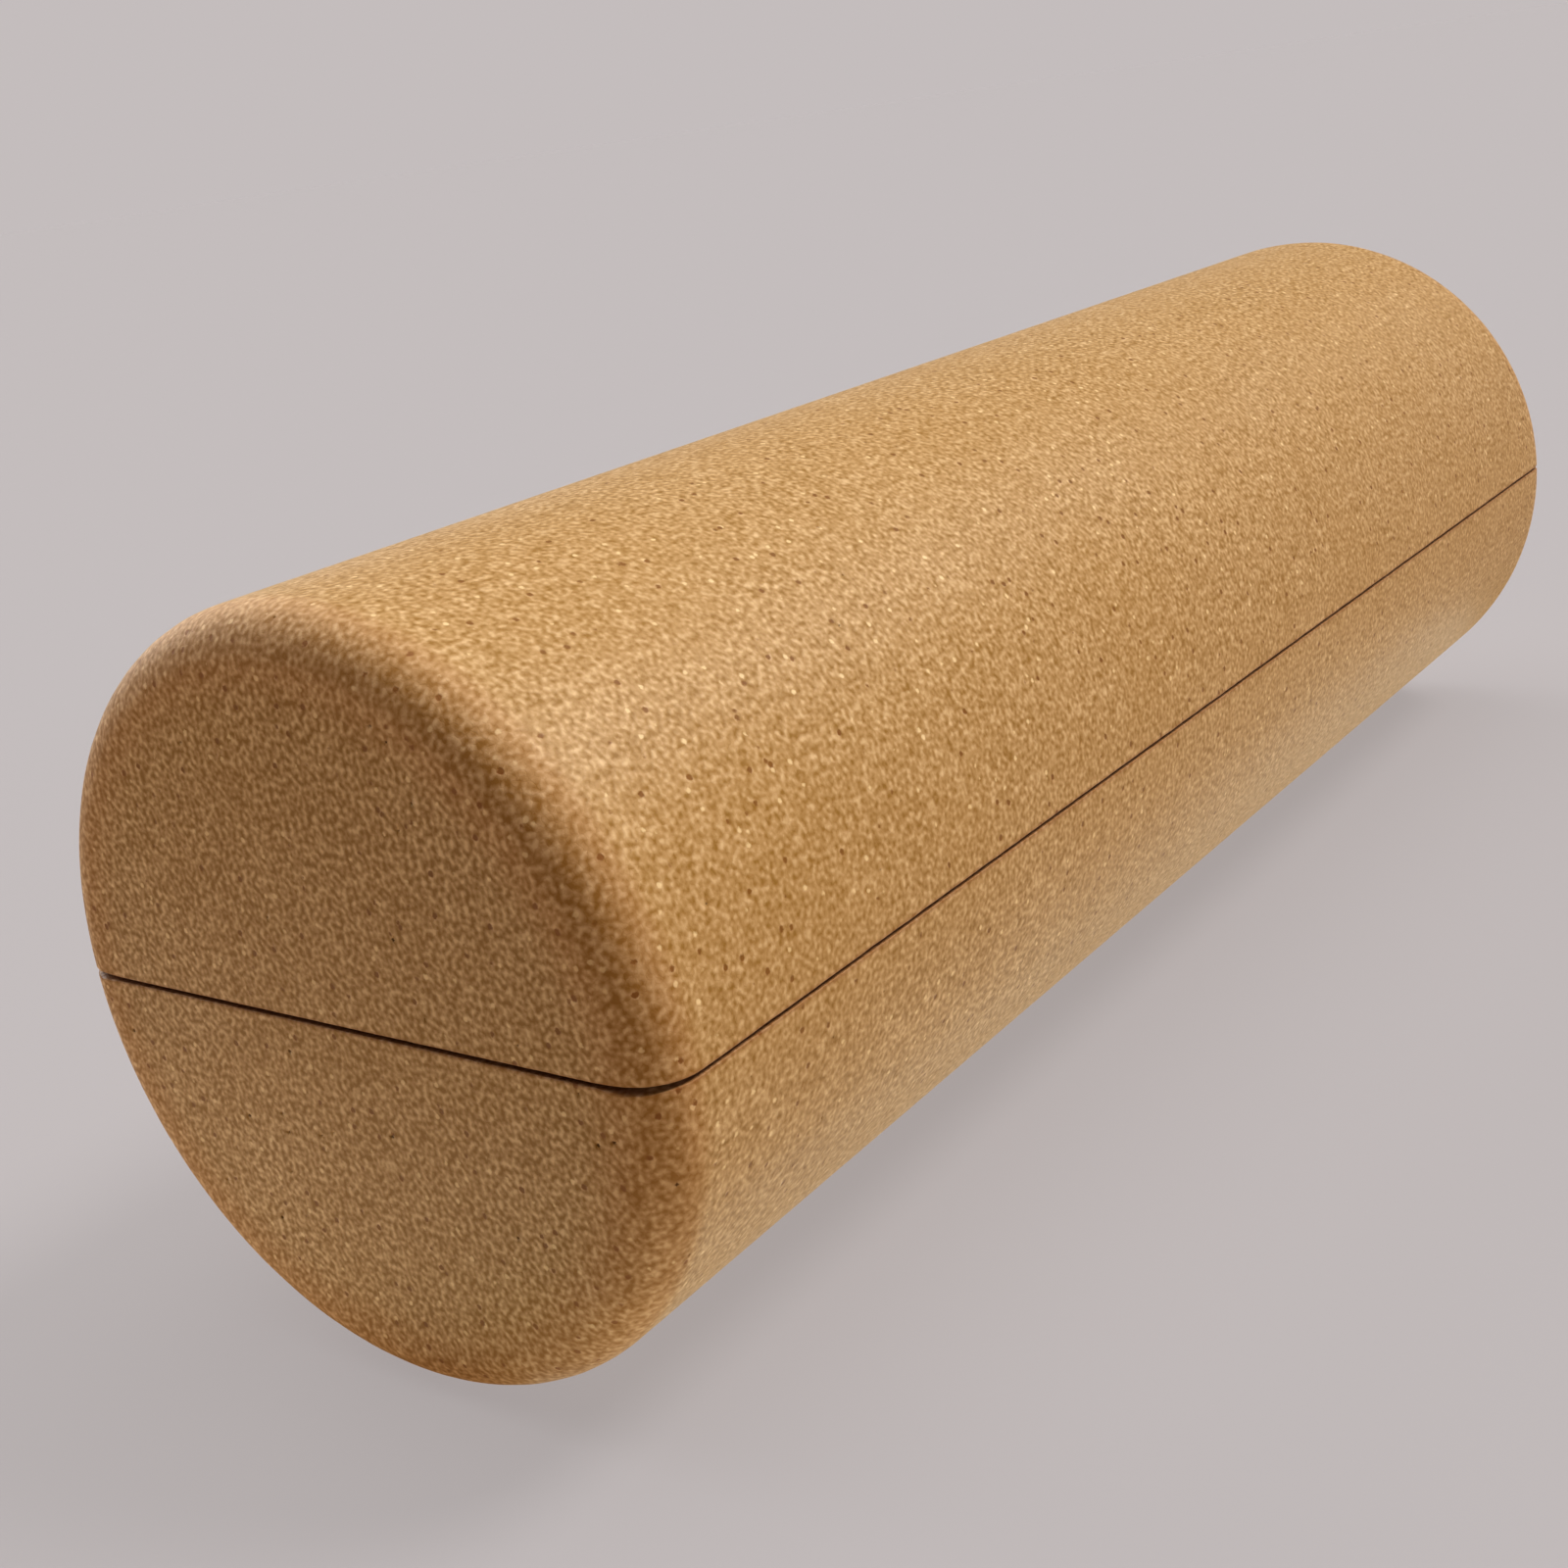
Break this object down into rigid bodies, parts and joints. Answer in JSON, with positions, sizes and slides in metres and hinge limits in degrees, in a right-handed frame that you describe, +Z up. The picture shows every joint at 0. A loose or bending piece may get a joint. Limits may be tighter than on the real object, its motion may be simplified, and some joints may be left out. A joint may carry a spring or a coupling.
{
  "type": "cork balance board",
  "caption": "Cork roller with rounded rims, sawn lengthwise through its axis into loose half-round balance boards that lie sawn face to sawn face.",
  "frame": {"origin": "on the floor, under the middle of the roller", "axes": "+X along the roller, +Z up through both boards, square to the sawn faces"},
  "size_m": [0.45, 0.15, 0.1503],
  "materials": {
    "cork": "bare agglomerated cork, sanded, fine grain"
  },
  "bodies": {
    "lower": {"lower_half": "cork"},
    "upper": {"upper_half": "cork"}
  },
  "joints": [
    {"name": "lift_off", "type": "slide", "parent": "lower", "child": "upper", "axis": [0, 0, 1], "range_m": [0, 0.15]}
  ]
}
